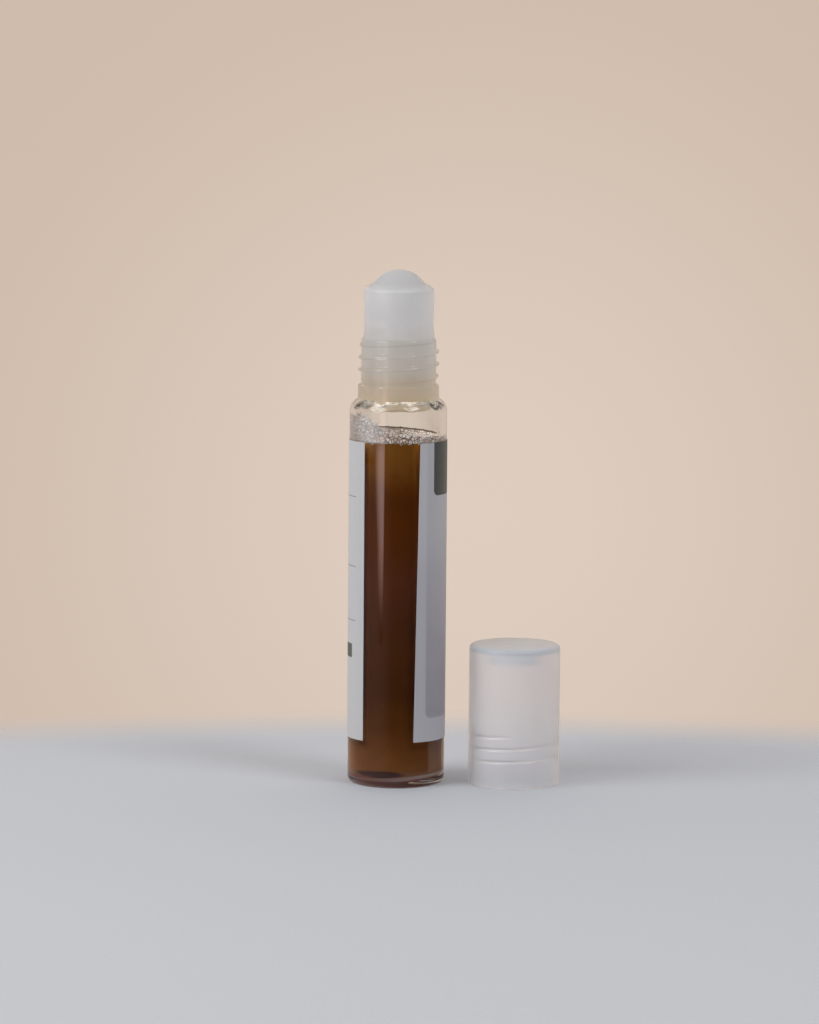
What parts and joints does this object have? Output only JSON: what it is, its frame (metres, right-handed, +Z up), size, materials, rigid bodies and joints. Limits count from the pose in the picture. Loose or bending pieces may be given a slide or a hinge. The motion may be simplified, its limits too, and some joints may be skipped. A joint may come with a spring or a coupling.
{
  "type": "roll-on eye serum bottle",
  "caption": "Slim clear glass roll-on bottle of brown serum with a milky ball in its neck, a wrapped label that leaves a bare window, and its translucent screw cap standing beside it.",
  "frame": {"origin": "centre of the glass base, on the bottle's axis, at the height of the surface it stands on", "axes": "+Z up along the bottle's axis; the label's bare window faces -Y; the cap stands on the +X side"},
  "size_m": [0.0439, 0.0201, 0.1062],
  "materials": {
    "clear_glass": "clear, smooth, polished glass with a thick base",
    "natural_housing": "natural milky plastic, satin",
    "milky_ball": "milky plastic, smooth satin gloss",
    "label_film": "matte printed label, pale lilac grey with a dark green-grey patch",
    "brown_serum": "clear dark brown liquid",
    "froth": "layer of small clear bubbles",
    "translucent_cap": "translucent natural plastic, satin gloss"
  },
  "bodies": {
    "bottle": {"glass_bottle": "clear_glass", "roller_housing": "natural_housing", "wrap_label": "label_film", "serum": "brown_serum", "serum_froth": "froth"},
    "ball": {"roller_ball": "milky_ball"},
    "cap": {"screw_cap": "translucent_cap"}
  },
  "joints": [
    {"name": "ball_roll", "type": "hinge", "parent": "bottle", "child": "ball", "pos_m": [0, 0, 0.10004], "axis": [1, 0, 0], "continuous": true},
    {"name": "cap_lift", "type": "slide", "parent": "bottle", "child": "cap", "axis": [0, 0, 1], "range_m": [0, 0.12]}
  ]
}
